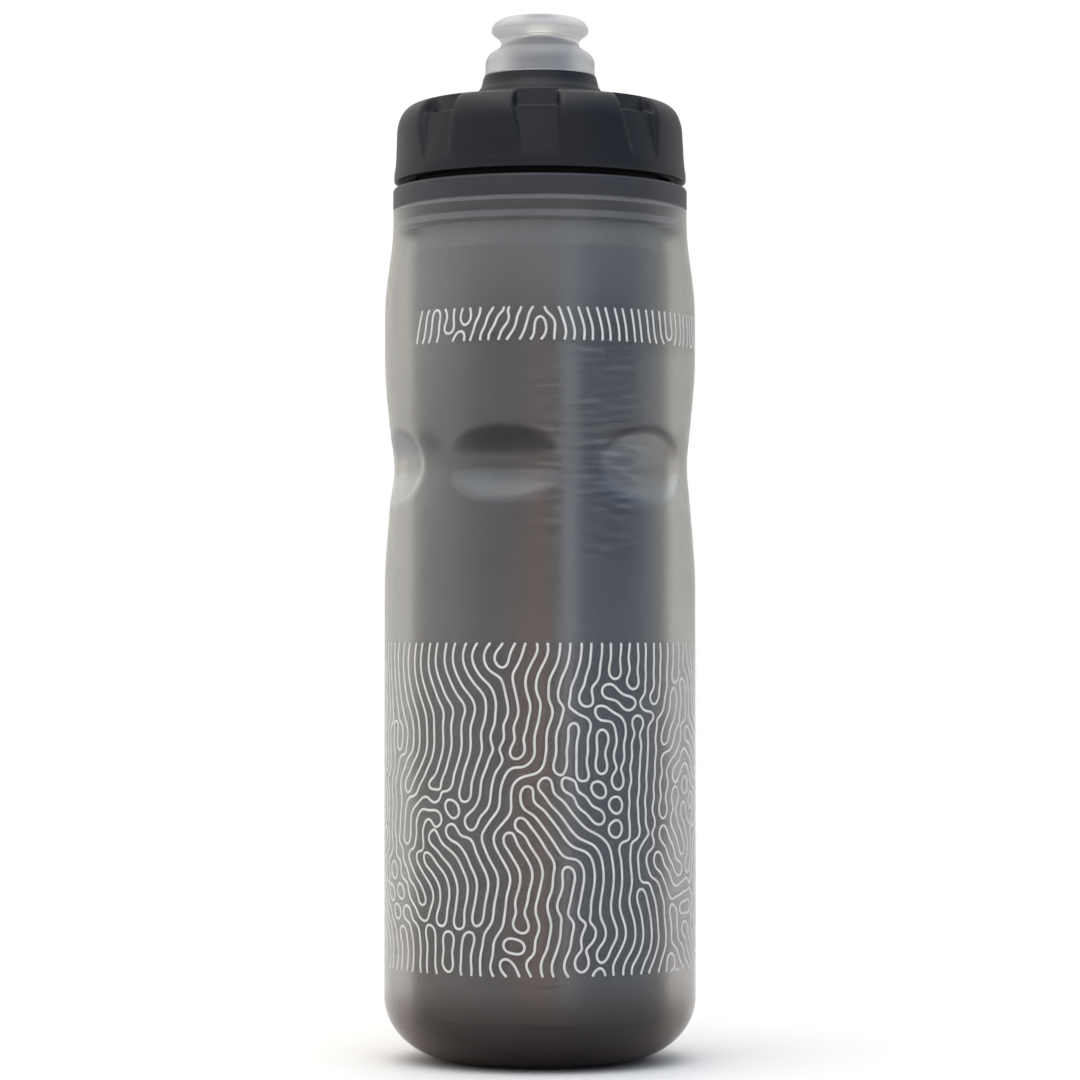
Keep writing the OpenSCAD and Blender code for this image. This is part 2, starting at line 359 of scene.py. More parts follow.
def mix_shaders(mat, share, first, second, target):
    """Mixes two shaders and gives the result to the output node that target names."""
    made = node(mat, "ShaderNodeMixShader")
    for index, output in enumerate((share, first, second)):
        link(mat, output, made.inputs[index])
    link(mat, made.outputs["Shader"], mat.node_tree.nodes[target].inputs["Surface"])


def dress(obj, mat):
    obj.data.materials.clear()
    obj.data.materials.append(mat)


# ---------------------------------------------------------------- materials


def shell_material():
    """Smoke-grey blow-moulded wall, lightly frosted, with flow marks down its length. Its colour holds
    painted
    light: a painted dark brown reflection round the base, painted shade along the upper part of each dimple,
    painted light along the lower part, and a painted highlight in one pair."""
    mat = material("smoke_shell", Transmission_Weight=0.95, IOR=1.3, Roughness=0.22, Specular_IOR_Level=0.2)
    flow = noise(mat, 60, detail=4, stretch=(1, 1, 0.12))
    tint = ramp(mat, flow, [(0.35, (0.72, 0.715, 0.705)), (0.65, (0.75, 0.745, 0.73))])
    # Painted light and shade by height: a painted dark brown reflection round the base, lightening to full
    # at 80 mm.
    painted_light_and_shade_by_height = by_height(mat, [
        (0, (0.2, 0.1, 0.075)), (6, (0.3, 0.2, 0.17)), (11, (0.55, 0.49, 0.465)), (18, (0.88, 0.86, 0.85)),
        (40, 0.93), (60, 0.97), (80, 1)])
    # Painted shade and light by the wall's tilt: darker where the wall faces down, along the upper part of
    # each dimple, and lighter where it faces up, along the lower part.
    tilt = ramp(mat, facing_up(mat), [
        (0.2, (0.32, 0.31, 0.32)), (0.32, (0.44, 0.43, 0.44)), (0.39, (0.6, 0.59, 0.6)), (0.445, 0.95),
        (0.5, 1), (0.548, 1.03), (0.57, (1.22, 1.27, 1.31)), (0.7, (1.21, 1.26, 1.3)),
        (0.8, (1.06, 1.1, 1.13))])
    # A painted highlight on one pair of dimples, mixed in over the painted tilt shade.
    painted_pair_highlight = ramp(mat, facing_up(mat), [
        (0.25, (1.3, 1.28, 1.25)), (0.45, (1.32, 1.3, 1.26)), (0.6, (1.3, 1.27, 1.22))])
    shade = blend(mat, painted_highlight_mask(mat), tilt, painted_pair_highlight)
    # The painted tilt shade and the painted highlight apply only between 55 and 166 mm.
    away = by_height(mat, [(50, 1), (55, 0), (166, 0), (172, 1)])
    paint(mat, "Base Color", multiply(mat, multiply(mat, tint, painted_light_and_shade_by_height), blend(mat, away, shade, 1)))
    paint(mat, "Roughness", spread(mat, noise(mat, 240, detail=2), 0.2, 0.235))
    return mat


def ink_material():
    mat = material("white_ink", Roughness=0.45)
    wear = noise(mat, 420, detail=4)
    paint(mat, "Base Color", ramp(mat, wear, [(0.3, (0.6, 0.59, 0.57)), (0.6, (0.71, 0.7, 0.68))]))
    relief(mat, wear, 0.00003)
    return mat


def foil_material():
    """Dark metallised film with fine scuffs, duller at its top; its colour holds painted light, darker
    towards the foot and lighter towards the top, and faint brown and blue painted reflections in front.
    """
    mat = material("metal_film", Metallic=1.0, Roughness=0.2)
    tone = noise(mat, 28, detail=4, stretch=(1, 1, 0.3))
    colour = ramp(mat, tone, [(0.3, (0.165, 0.161, 0.161)), (0.7, (0.205, 0.202, 0.204))])
    # Painted light and shade by height: darker towards the foot as a painted dark reflection, and lighter
    # and bluer towards the top as painted light from above.
    painted_light_and_shade_by_height = by_height(mat, [
        (10, (0.3, 0.22, 0.2)), (14, (0.42, 0.39, 0.385)), (24, (0.9, 0.88, 0.88)), (60, (0.98, 0.95, 0.95)),
        (110, (1.05, 1.04, 1.06)), (150, (1.15, 1.18, 1.24)), (170, (1.38, 1.48, 1.58)),
        (191, (1.62, 1.76, 1.92))])
    # Painted reflections: faint brown and blue stripes at fixed angles round the front.
    painted_reflections = by_azimuth(mat, [
        (-80, 1), (-38, 1.15), (-18, 1), (-9, (1.35, 1.05, 0.97)), (2, (1.5, 1.1, 1)),
        (7, (1.2, 1.15, 1.15)), (12, (1.4, 1.5, 1.6)), (19, (0.68, 0.84, 1.08)), (32, (0.58, 0.77, 1.05)),
        (50, (0.65, 0.85, 1.12)), (70, 1), (80, 1)])
    # The painted reflections show fully below 90 mm and fade towards the top.
    fading = by_height(mat, [(90, 0), (130, 0.3), (191, 0.9)])
    paint(mat, "Base Color", multiply(mat, multiply(mat, colour, painted_light_and_shade_by_height), blend(mat, fading, painted_reflections, 1)))
    scuffs = spread(mat, noise(mat, 160, detail=3, stretch=(1, 1, 3)), 0.14, 0.24)
    dull = by_height(mat, [(170, 0.26), (171, 0.3), (191, 0.5)])
    paint(mat, "Roughness", blend(mat, by_height(mat, [(158, 0), (172, 1)]), scuffs, dull))
    return mat


def moulded(name, dark, light, roughness, grain=1400, depth=0.00004, levels=None, **sockets):
    """Moulded plastic: slight colour drift, and the fine grain of the tool's surface; levels are stops
    that scale its colour by height."""
    mat = material(name, **sockets)
    drift = noise(mat, 70, detail=3)
    colour = ramp(mat, drift, [(0.3, dark), (0.7, light)])
    paint(mat, "Base Color", multiply(mat, colour, by_height(mat, levels)) if levels else colour)
    fine = noise(mat, grain, detail=3)
    paint(mat, "Roughness", spread(mat, fine, roughness - 0.05, roughness + 0.06))
    relief(mat, fine, depth)
    return mat


SHELL = shell_material()
INK = ink_material()
FOIL = foil_material()
# The liner's levels are painted light and shade: a painted dark brown reflection and shade near the foot, a
# painted light band from 194 to 203 mm, and painted shade, near black, from 206 mm up, where the collar and
# cap close over it.
LINER = moulded("liner_plastic", (0.235, 0.25, 0.265), (0.285, 0.3, 0.315), 0.4, Specular_IOR_Level=0.15,
                levels=[(8, (0.05, 0.03, 0.025)), (30, (0.1, 0.08, 0.075)), (170, 1), (190, 1.1),
                        (194, (1.75, 1.77, 1.8)), (203, (1.75, 1.77, 1.8)), (206, (0.02, 0.02, 0.025))])
# The collar's levels are painted light and shade: its two beads, seen through the shell, are painted 7 and 9
# times lighter as painted light, the band between them is painted darker as painted shade, and its top face
# under the cap is painted darker as painted shade.
COLLAR = moulded("collar_plastic", (0.036, 0.037, 0.044), (0.044, 0.045, 0.052), 0.45,
                 Specular_IOR_Level=0.28,
                 levels=[(197.1, 1.5), (197.4, 7), (198.6, 7), (198.9, 0.2), (201, 0.2), (201.3, 9),
                         (202.1, 9), (202.2, 1), (206.9, 1), (207.15, (0.12, 0.12, 0.15))])
CAP = moulded("cap_plastic", (0.0085, 0.0095, 0.0135), (0.0115, 0.0125, 0.0165), 0.44,
              Specular_IOR_Level=0.28)
SEAL = moulded("seal_silicone", (0.5, 0.5, 0.49), (0.58, 0.58, 0.57), 0.5)
POST = moulded("post_plastic", (0.86, 0.9, 0.95), (0.9, 0.94, 0.98), 0.36,
               levels=[(230, 1), (238.5, 1), (240, (0.09, 0.1, 0.115)), (243, (0.06, 0.07, 0.085))])
RUBBER = moulded("o_ring_rubber", (0.012, 0.012, 0.012), (0.02, 0.02, 0.02), 0.5)
SLEEVE = moulded("sleeve_plastic", (0.74, 0.78, 0.82), (0.8, 0.84, 0.88), 0.2, Transmission_Weight=0.8)
VALVE = moulded("valve_silicone", (0.1, 0.135, 0.19), (0.13, 0.165, 0.22), 0.35,
                Transmission_Weight=0.3, IOR=1.41)
MOUTH = moulded("mouth_silicone", (0.81, 0.815, 0.82), (0.86, 0.865, 0.87), 0.38, grain=300, depth=0.000004,
                Transmission_Weight=0.84, IOR=1.41)

# ---------------------------------------------------------------- outer shell


def shell_radius(z):
    """Outer radius of the shell at a height above the base corner."""
    below = BODY_R - WAIST_DEPTH * ease((z - WAIST_LO) / (WAIST_Z - WAIST_LO))
    above = BODY_R - WAIST_DEPTH * ease((WAIST_HI - z) / (WAIST_HI - WAIST_Z))
    shoulder = BODY_R - (BODY_R - RIM_R) * ease((z - SHOULDER_LO) / (SHOULDER_HI - SHOULDER_LO))
    return np.where(z < WAIST_Z, below, np.where(z < WAIST_HI, above, shoulder))


def dimpled(radius, angle, z, inset):
    """The radius where a cylinder lying across the waist presses the wall in, its edge a little rounded."""
    step = 2 * np.pi / DIMPLE_COUNT
    turn = (angle - FRONT - DIMPLE_TURN + step / 2) % step - step / 2
    waist_r = BODY_R - WAIST_DEPTH
    depth = waist_r - math.sqrt(waist_r ** 2 - DIMPLE_W ** 2)
    rho = (DIMPLE_H ** 2 + depth ** 2) / (2 * depth)
    up = np.clip(np.abs(z - DIMPLE_Z), 0, 0.95 * rho)
    cut = (waist_r - depth + rho - np.sqrt((rho + inset) ** 2 - up ** 2)) / np.cos(turn)
    gap = cut - radius
    eased = cut - (gap + np.sqrt(gap ** 2 + (0.5 * MM) ** 2)) / 2
    near = (np.abs(z - DIMPLE_Z) < DIMPLE_H + 4 * MM) & (gap < 3 * MM)
    return np.where(near, eased, radius)


def shell_rows(inset, heights, base_steps, corner_steps, angles):
    """Rows of one face of the wall, from next to the base's centre up to its top."""
    outline = [(r, PUNT * (1 - smoothstep(0.1, 1, r / PUNT_R)) + inset)
               for r in np.linspace(1.5 * MM, PUNT_R, base_steps)]
    outline += arc(BASE_R, CORNER_H, BODY_R - BASE_R - inset, CORNER_H - inset, -90, 0, corner_steps)
    outline += [(float(shell_radius(np.array(z))) - inset, z) for z in heights]
    rows = revolve(outline, angles)
    angle = np.arctan2(rows[:, :, 1], rows[:, :, 0])
    radius = np.hypot(rows[:, :, 0], rows[:, :, 1])
    rows[:, :, :2] *= (dimpled(radius, angle, rows[:, :, 2], inset) / radius)[:, :, None]
    return rows


def heights_between(low, high, coarse, fine, fine_low, fine_high):
    """Heights from low to high, closer together between fine_low and fine_high."""
    return np.concatenate([
        np.linspace(low, fine_low, max(2, round((fine_low - low) / coarse)), endpoint=False)[1:],
        np.linspace(fine_low, fine_high, round((fine_high - fine_low) / fine), endpoint=False),
        np.linspace(fine_high, high, max(2, round((high - fine_high) / coarse)))])


def make_shell():
    """The outer wall, with its waist, dimples, rounded foot and open rim."""
    angles = full_turn(324)
    top = SHELL_HIGH.z
    lip = 0.35 * MM
    waist = (WAIST_Z - 11 * MM, WAIST_Z + 11 * MM)
    outside = heights_between(CORNER_H, top - lip, 2.6 * MM, 0.42 * MM, *waist)
    inside = heights_between(CORNER_H, top - lip, 4 * MM, 0.6 * MM, *waist)
    outer = shell_rows(0, outside, 6, 20, angles)
    inner = shell_rows(SHELL_WALL, inside, 5, 12, angles)
    rim = revolve(arc(RIM_R - SHELL_WALL / 2, top - lip, SHELL_WALL / 2, lip, 30, 150, 4), angles)
    rows = np.concatenate([outer, rim, inner[::-1]])
    shell = skin("shell_wall", rows, poles=(PUNT, PUNT + SHELL_WALL))
    dress(shell, SHELL)
    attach(shell, "bottle")
    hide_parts("outer_shell")


make_shell()

# ---------------------------------------------------------------- foil wrap


def random_field(shape, size, wavelength, seed, band=0.35):
    """Smooth random field on a grid that wraps round, with features of about the given wavelengths."""
    rng = np.random.default_rng(seed)
    k0 = np.fft.fftfreq(shape[0], size[0] / shape[0])[:, None] * wavelength[0]
    k1 = np.fft.fftfreq(shape[1], size[1] / shape[1])[None, :] * wavelength[1]
    k = np.hypot(k0, k1)
    window = np.exp(-((k - 1) / band) ** 2)
    field = np.fft.ifft2(np.fft.fft2(rng.normal(size=shape)) * window).real
    return field / field.std()


def make_foil():
    """The rolled film: fine creases behind the right half of the front, at the waist and at the foot, a
    gentle swell all round, and the step of its overlap at the back."""
    columns, rows = 228, 420
    base_r = FOIL_HIGH.x - 0.1 * MM
    inner_r = base_r - 0.2 * MM
    low, high = FOIL_LOW.z, FOIL_HIGH.z
    crease_h, swell_h, overlap_h = 0.038 * MM, 0.05 * MM, 0.3 * MM
    waist_z, foot_z = 146 * MM, 15 * MM
    size = (high - low, 2 * math.pi * base_r)
    shape = (rows, columns)
    creases = random_field(shape, size, (2.5 * MM, 12 * MM), 11, 0.55)
    swell = random_field(shape, size, (60 * MM, 70 * MM), 13)
    where = smoothstep(0.2, 1.6, random_field(shape, size, (45 * MM, 45 * MM), 17))
    angles = full_turn(columns)
    z = np.linspace(low, high, rows)[:, None]
    front = np.cos(angles - FRONT - math.radians(30))[None, :]
    patches = smoothstep(-2.2, 0.6, random_field(shape, size, (9 * MM, 16 * MM), 23))
    near = patches * smoothstep(0.78, 0.97, front) * np.exp(-((z - waist_z) / (24 * MM)) ** 2)
    foot = smoothstep(0.75, 0.95, front) * np.exp(-((z - foot_z) / (5 * MM)) ** 2)
    height = swell_h * swell + (np.maximum(0.2 * where, near) + 1.5 * foot) * crease_h * creases
    height = np.clip(height, -0.2 * MM, 0.3 * MM)
    seam = math.radians(75)
    turn = (angles - seam) % (2 * np.pi)
    overlap = overlap_h * (1 - smoothstep(0.2, 0.22, turn)) * smoothstep(0, 0.01, turn)
    outer = round_axis(base_r + height + overlap[None, :], angles[None, :], z)
    inner = revolve([(inner_r, high), (inner_r, low)], angles)
    foil = skin("foil_film", np.concatenate([outer, inner]), loop=True)
    dress(foil, FOIL)
    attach(foil, "bottle")
    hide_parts("foil_wrap")


make_foil()

# ---------------------------------------------------------------- collar


def make_collar():
    """The ring above the shell, and below it the skirt whose two beads show through the shell's top; the
    beads' painted light is in the collar's colour.
    """
    top, low = COLLAR_HIGH.z, COLLAR_LOW.z
    skirt_r = RIM_R - SHELL_WALL - 0.25 * MM
    bead_r = RIM_R - SHELL_WALL - 0.04 * MM
    bore = skirt_r - 1 * MM
    neck = 29.5 * MM
    edge = 0.9 * MM
    foot = SHELL_HIGH.z + 0.05 * MM
    outline = [(skirt_r, foot), (COLLAR_HIGH.x - 0.2 * MM, foot), (COLLAR_HIGH.x, foot + 0.2 * MM)]
    outline += arc(COLLAR_HIGH.x - edge, top - edge, edge, edge, 0, 90, 10)
    outline += [(neck + 0.3 * MM, top), (neck, top - 0.3 * MM), (neck, top - 2.2 * MM),
                (bore, top - 2.2 * MM), (bore, top - 4.4 * MM), (bore - 0.3 * MM, top - 5 * MM),
                (bore, top - 6.6 * MM), (bore, low)]
    outline += arc(bead_r - 0.3 * MM, low + 0.3 * MM, 0.3 * MM, 0.3 * MM, -90, 60, 6)
    outline += [(skirt_r, low + 0.8 * MM), (skirt_r, low + 2 * MM)]
    outline += arc(bead_r - 0.3 * MM, low + 3.2 * MM, 0.3 * MM, 1 * MM, -70, 70, 8)
    outline += [(skirt_r, low + 4.5 * MM)]
    collar = skin("collar_ring", revolve(densify(outline, 1.5 * MM), full_turn(192)), loop=True)
    dress(collar, COLLAR)
    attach(collar, "bottle")
    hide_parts("neck_collar")


make_collar()

# ---------------------------------------------------------------- cap

GRIPS = 8
GRIP_TURN = math.radians(-1.5)
DOME_Z = 219.7 * MM
DOME_RX = 5 * MM
DOME_RZ = 7.4 * MM
GRIP_FOOT = (34.62 * MM, 212 * MM)
LEDGE = (32.6 * MM, 222.7 * MM)
SHELF = (30.7 * MM, 223.2 * MM)
GRIP_TOP = (29.8 * MM, 227.1 * MM)
CAP_BORE = 31.2 * MM
PLUG_R = 25.9 * MM
PLUG_FOOT = 219.5 * MM
ROOF_Z = 222 * MM
GUIDE_R = 8.95 * MM
WELL_R = 9.6 * MM
TOWER_R = 11.2 * MM
WELL_FLOOR = 222.3 * MM


def cap_outline():
    """Two outlines with matching points: the cap's outer face, and the same face inside a recess."""
    r, low = CAP_HIGH.x, CAP_LOW.z
    face = [(r - 0.35 * MM, low)]
    face += arc(r - 0.3 * MM, low + 0.3 * MM, 0.3 * MM, 0.3 * MM, -70, 0, 3)
    face += [(r, 210.4 * MM), (r - 0.15 * MM, 211.5 * MM), (r - 0.3 * MM, 214 * MM)]
    face = densify(face, 0.8 * MM)
    face += densify([face[-1], (r - 0.45 * MM, DOME_Z)], 0.8 * MM)[1:]
    face += arc(r - 0.45 * MM - DOME_RX, DOME_Z, DOME_RX, DOME_RZ, 3, 96, 34)
    face += densify([face[-1], (16.2 * MM, 229 * MM)], 0.8 * MM)[1:]
    sunk = []
    corners = np.array([LEDGE, SHELF, GRIP_TOP])
    length = np.array([0, *np.cumsum(np.hypot(*np.diff(corners, axis=0).T))])
    above = [i for i, (radius, z) in enumerate(face) if z > LEDGE[1] and radius > GRIP_TOP[0]]
    for i, (radius, z) in enumerate(face):
        if GRIP_FOOT[1] < z <= LEDGE[1]:
            t = (z - GRIP_FOOT[1]) / (LEDGE[1] - GRIP_FOOT[1])
            sunk.append((min(radius, GRIP_FOOT[0] + (LEDGE[0] - GRIP_FOOT[0]) * t), z))
        elif i in above:
            at = length[-1] * (i - above[0]) / (above[-1] - above[0])
            sunk.append((np.interp(at, length, corners[:, 0]), np.interp(at, length, corners[:, 1])))
        else:
            sunk.append((radius, z))
    return np.array(face), np.array(sunk)


def grip_columns():
    """Places across one recess and the land beside it: (u, depth share); |u| <= 1 is the recess."""
    side = np.linspace(0.9, 1.1, 5)
    share = 1 - smoothstep(0.92, 1.08, side)
    floor = np.linspace(-0.9, 0.9, 9)[1:-1]
    land = np.linspace(1.1, 3.2, 12)[1:]
    u = np.concatenate([-side[::-1], floor, side, land])
    depth = np.concatenate([share[::-1], np.ones(len(floor)), share, np.zeros(len(land))])
    return u, depth


def cap_rows():
    """Rows of the cap's outer face with its recesses, and the angles of the columns in the last row."""
    face, sunk = cap_outline()
    u, depth = grip_columns()
    step = 2 * np.pi / GRIPS
    z = face[:, 1]
    down = np.clip((LEDGE[1] - z) / (LEDGE[1] - GRIP_FOOT[1]), 0, 1)
    half = np.radians(9.3 - 2.6 * down)
    centre = GRIP_TURN + np.radians(1.8 * down)
    inside = np.abs(u) <= 1.1
    land = np.clip((u - 1.1) / (u[-1] + (u[-1] - u[-2]) - 1.1), 0, 1)
    angle = np.where(inside[None, :], u[None, :] * half[:, None],
                     half[:, None] * 1.1 + land[None, :] * (step - 2.2 * half[:, None]))
    angle = angle + centre[:, None]
    mix = depth[None, :, None]
    both = face[:, None, :] * (1 - mix) + sunk[:, None, :] * mix
    turned = [angle + FRONT + i * step for i in range(GRIPS)]
    angle = np.concatenate(turned, axis=1)
    both = np.concatenate([both] * GRIPS, axis=1)
    return round_axis(both[:, :, 0], angle, both[:, :, 1]), angle[-1]


def make_cap():
    """Grip ring, dome and spout outside; guide, well, plug and threaded bore inside."""
    rows, angles = cap_rows()
    spout_top = CAP_HIGH.z
    inside = arc(16.6 * MM, 230.6 * MM, 1.6 * MM, 1.5 * MM, 255, 190, 5)
    inside += [(14.1 * MM, 231.6 * MM), (13.5 * MM, spout_top - 0.3 * MM)]
    inside += arc(13.2 * MM, spout_top - 0.3 * MM, 0.3 * MM, 0.3 * MM, 20, 90, 3)
    inside += [(GUIDE_R + 0.3 * MM, spout_top), (GUIDE_R, spout_top - 0.3 * MM),
               (GUIDE_R, spout_top - 1.9 * MM), (WELL_R, spout_top - 1.9 * MM), (WELL_R, WELL_FLOOR),
               (TOWER_R, WELL_FLOOR), (TOWER_R, 226.7 * MM), (PLUG_R, 224.4 * MM), (PLUG_R, PLUG_FOOT),
               (PLUG_R + 0.9 * MM, PLUG_FOOT), (PLUG_R + 1.3 * MM, PLUG_FOOT + 0.5 * MM),
               (PLUG_R + 1.3 * MM, ROOF_Z), (CAP_BORE, ROOF_Z), (CAP_BORE, CAP_LOW.z + 0.4 * MM),
               (CAP_BORE + 0.4 * MM, CAP_LOW.z)]
    cap = skin("cap_body", np.concatenate([rows, revolve(densify(inside, 1.2 * MM), angles)]), loop=True,
               smooth_angle=50)
    dress(cap, CAP)
    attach(cap, "cap")
    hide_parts("cap")


def make_cap_thread():
    """The ridge inside the cap, along the same helix as in the frame."""
    pitch, turns, start, z0 = 6 * MM, 1.25, math.radians(150), 210.5 * MM
    steps = 150
    t = np.linspace(0, 1, steps + 1)
    angle = start + t * turns * 2 * np.pi
    z = z0 + pitch * turns * t
    rise = 1.45 * MM * np.clip(np.minimum(t, 1 - t) / 0.06, 0.02, 1)
    root = CAP_BORE + 0.2 * MM
    section = [(0, -1.2 * MM), (0.75, -0.95 * MM), (1, -0.55 * MM),
               (1, 0.55 * MM), (0.75, 0.95 * MM), (0, 1.2 * MM)]
    vertices = []
    for a, height, full in zip(angle, z, rise):
        for share, dz in section:
            r = root - share * full
            vertices.append((r * math.cos(a), r * math.sin(a), height + dz))
    n = len(section)
    faces = [(i * n + k, i * n + (k + 1) % n, (i + 1) * n + (k + 1) % n, (i + 1) * n + k)
             for i in range(steps) for k in range(n)]
    faces += [tuple(range(n)), tuple(range(steps * n, steps * n + n))]
    thread = add_object("cap_thread", vertices, faces)
    dress(thread, CAP)
    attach(thread, "cap")


make_cap()
make_cap_thread()

# ---------------------------------------------------------------- mouthpiece


def make_mouthpiece():
    """Foot, bite waist and lip outside; hole, valve's seat and grip on the sleeve inside."""
    low, top = MOUTH_LOW.z, MOUTH_HIGH.z
    lip_z = 245.3 * MM
    lip = 4.36 * MM
    lip_in = 7.24 * MM
    grip = 8.75 * MM
    foot = 13 * MM
    hole = 3.9 * MM
    sleeve = SLEEVE_HIGH.z
    outline = [(grip, low + 0.2 * MM), (grip + 0.2 * MM, low), (foot, low)]
    outline += arc(foot, low + 0.2 * MM, 0.2 * MM, 0.2 * MM, -90, 0, 2)[1:]
    outline += arc(9.85 * MM, 237 * MM, 3.25 * MM, 3.5 * MM, -20, 68, 14)[2:]
    outline += arc(10.85 * MM, 242.2 * MM, 1.6 * MM, 1.45 * MM, 230, 130, 12)
    outline += arc(lip_in, lip_z, lip, 2.03 * MM, -60, 0, 10)
    outline += arc(lip_in, lip_z, lip, top - lip_z, 0, 90, 16)[1:]
    outline += arc(hole + 1.5 * MM, top - 1.4 * MM, 1.5 * MM, 1.4 * MM, 90, 180, 8)
    outline += [(hole, sleeve + 1.5 * MM), (hole, sleeve + 0.95 * MM), (6.5 * MM, sleeve + 0.95 * MM),
                (6.5 * MM, sleeve + 0.05 * MM), (7.75 * MM, sleeve + 0.05 * MM),
                (7.75 * MM, sleeve - 1.85 * MM), (grip, sleeve - 3.05 * MM)]
    piece = skin("mouth_lip", revolve(densify(outline, 0.6 * MM), full_turn(144)), loop=True)
    dress(piece, MOUTH)
    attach(piece, "nozzle")
    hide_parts("mouthpiece")


make_mouthpiece()

# ---------------------------------------------------------------- CAD nodes that show

for name, mat in {"inner_liner": LINER, "cap_seal": SEAL, "spout_post": POST, "spout_o_ring": RUBBER,
                  "nozzle_sleeve": SLEEVE, "flow_valve": VALVE}.items():
    dress(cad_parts[name], mat)

# ---------------------------------------------------------------- printed lines


def labyrinth(shape, size, wavelength, shift, lead, seed, steps):
    """Stripes that wind and break, grown by the Swift-Hohenberg equation on a grid that wraps round.
    shift moves the first stripes sideways, lead is their strength, and noise joins them."""
    rows, columns = shape
    s = np.linspace(0, size[1], columns, endpoint=False)[None, :]
    phase = 2 * np.pi * (round(size[1] / wavelength) * s / size[1] + shift / wavelength)
    u = lead * np.cos(phase) + 0.2 * random_field(shape, size, (wavelength, wavelength), seed)
    kz = np.fft.fftfreq(rows, size[0] / rows)[:, None] * wavelength
    ks = np.fft.fftfreq(columns, size[1] / columns)[None, :] * wavelength
    k2 = kz ** 2 + ks ** 2
    growth = 0.35 - (1 - k2) ** 2 - 0.02 * kz ** 2 / np.maximum(k2, 1e-9)
    step = 0.4
    for _ in range(steps):
        push = 0.5 * u ** 2 - u ** 3
        u = np.fft.ifft2((np.fft.fft2(u) + step * np.fft.fft2(push)) / (1 - step * growth)).real
    return u


def contours(field, size):
    """Lines along which the field is zero, as (points, closed); a point is (s, z), and s wraps round."""
    rows, columns = field.shape
    dz, ds = size[0] / rows, size[1] / columns
    sign = field > 0
    links = {}
    for i in range(rows - 1):
        for j in range(columns):
            k = (j + 1) % columns
            corners = (sign[i, j], sign[i, k], sign[i + 1, k], sign[i + 1, j])
            if all(corners) or not any(corners):
                continue
            edges = [(i, j, 0), (i, k, 1), (i + 1, j, 0), (i, j, 1)]
            cut = [e for n, e in enumerate(edges) if corners[n] != corners[(n + 1) % 4]]
            if len(cut) == 4:
                middle = field[i, j] + field[i, k] + field[i + 1, k] + field[i + 1, j] > 0
                pairs = [cut[:2], cut[2:]] if middle == corners[0] else [(cut[3], cut[0]), cut[1:3]]
            else:
                pairs = [cut]
            for a, b in pairs:
                links.setdefault(a, []).append(b)
                links.setdefault(b, []).append(a)

    def crossing(i, j, vertical):
        a = field[i, j]
        b = field[i + 1, j] if vertical else field[i, (j + 1) % columns]
        t = a / (a - b)
        return (j * ds, (i + t) * dz) if vertical else ((j + t) * ds, i * dz)

    seen = set()
    lines = []
    ends = [key for key in links if len(links[key]) == 1]
    for first in ends + list(links):
        if first in seen:
            continue
        line = [first]
        seen.add(first)
        while True:
            ahead = [key for key in links[line[-1]] if key not in seen]
            if not ahead:
                break
            line.append(ahead[0])
            seen.add(ahead[0])
        points = np.array([crossing(*key) for key in line])
        jump = np.round(np.diff(points[:, 0]) / size[1])
        points[1:, 0] -= np.cumsum(jump) * size[1]
        closed = len(links[first]) == 2 and abs(points[0, 0] - points[-1, 0]) < size[1] / 2
        lines.append((points, closed))
    return lines


def evened(points, closed, spacing):
    """The line with evenly spaced points, smoothed a little."""
    if closed:
        points = np.vstack([points, points[:1]])
    length = np.concatenate([[0], np.cumsum(np.hypot(*np.diff(points, axis=0).T))])
    count = max(6 if closed else 2, round(length[-1] / spacing))
    at = np.linspace(0, length[-1], count + 1)
    points = np.stack([np.interp(at, length, points[:, 0]), np.interp(at, length, points[:, 1])], axis=1)
    if closed:
        points = points[:-1]
    for _ in range(2):
        ahead, behind = np.roll(points, -1, 0), np.roll(points, 1, 0)
        smooth = 0.5 * points + 0.25 * (ahead + behind)
        if not closed:
            smooth[[0, -1]] = points[[0, -1]]
        points = smooth
    return points


def ribbon(points, closed, bottom, vertices, faces):
    """Adds a thin raised ribbon along a line on the shell; points are (s, z) with s along the girth."""
    ahead, behind = np.roll(points, -1, 0), np.roll(points, 1, 0)
    if not closed:
        ahead[-1], behind[0] = points[-1], points[0]
    along = ahead - behind
    along /= np.maximum(np.hypot(*along.T), 1e-12)[:, None]
    side = np.stack([-along[:, 1], along[:, 0]], axis=1) * INK_WIDTH / 2
    first = len(vertices)
    section = [(-1, -INK_LIFT), (-0.8, INK_LIFT), (0.8, INK_LIFT), (1, -INK_LIFT)]
    for p, offset in zip(points, side):
        for share, lift in section:
            s, z = p + offset * share
            z += bottom
            angle = FRONT + s / BODY_R
            r = float(shell_radius(np.array(z))) + lift
            vertices.append((r * math.cos(angle), r * math.sin(angle), z))
    count = len(points)
    for i in range(count if closed else count - 1):
        a, b = first + 4 * i, first + 4 * ((i + 1) % count)
        faces += [(a + k, a + (k + 1) % 4, b + (k + 1) % 4, b + k) for k in range(4)]
    if not closed:
        faces += [(first, first + 1, first + 2, first + 3)]
        last = first + 4 * (count - 1)
        faces += [(last + 3, last + 2, last + 1, last)]


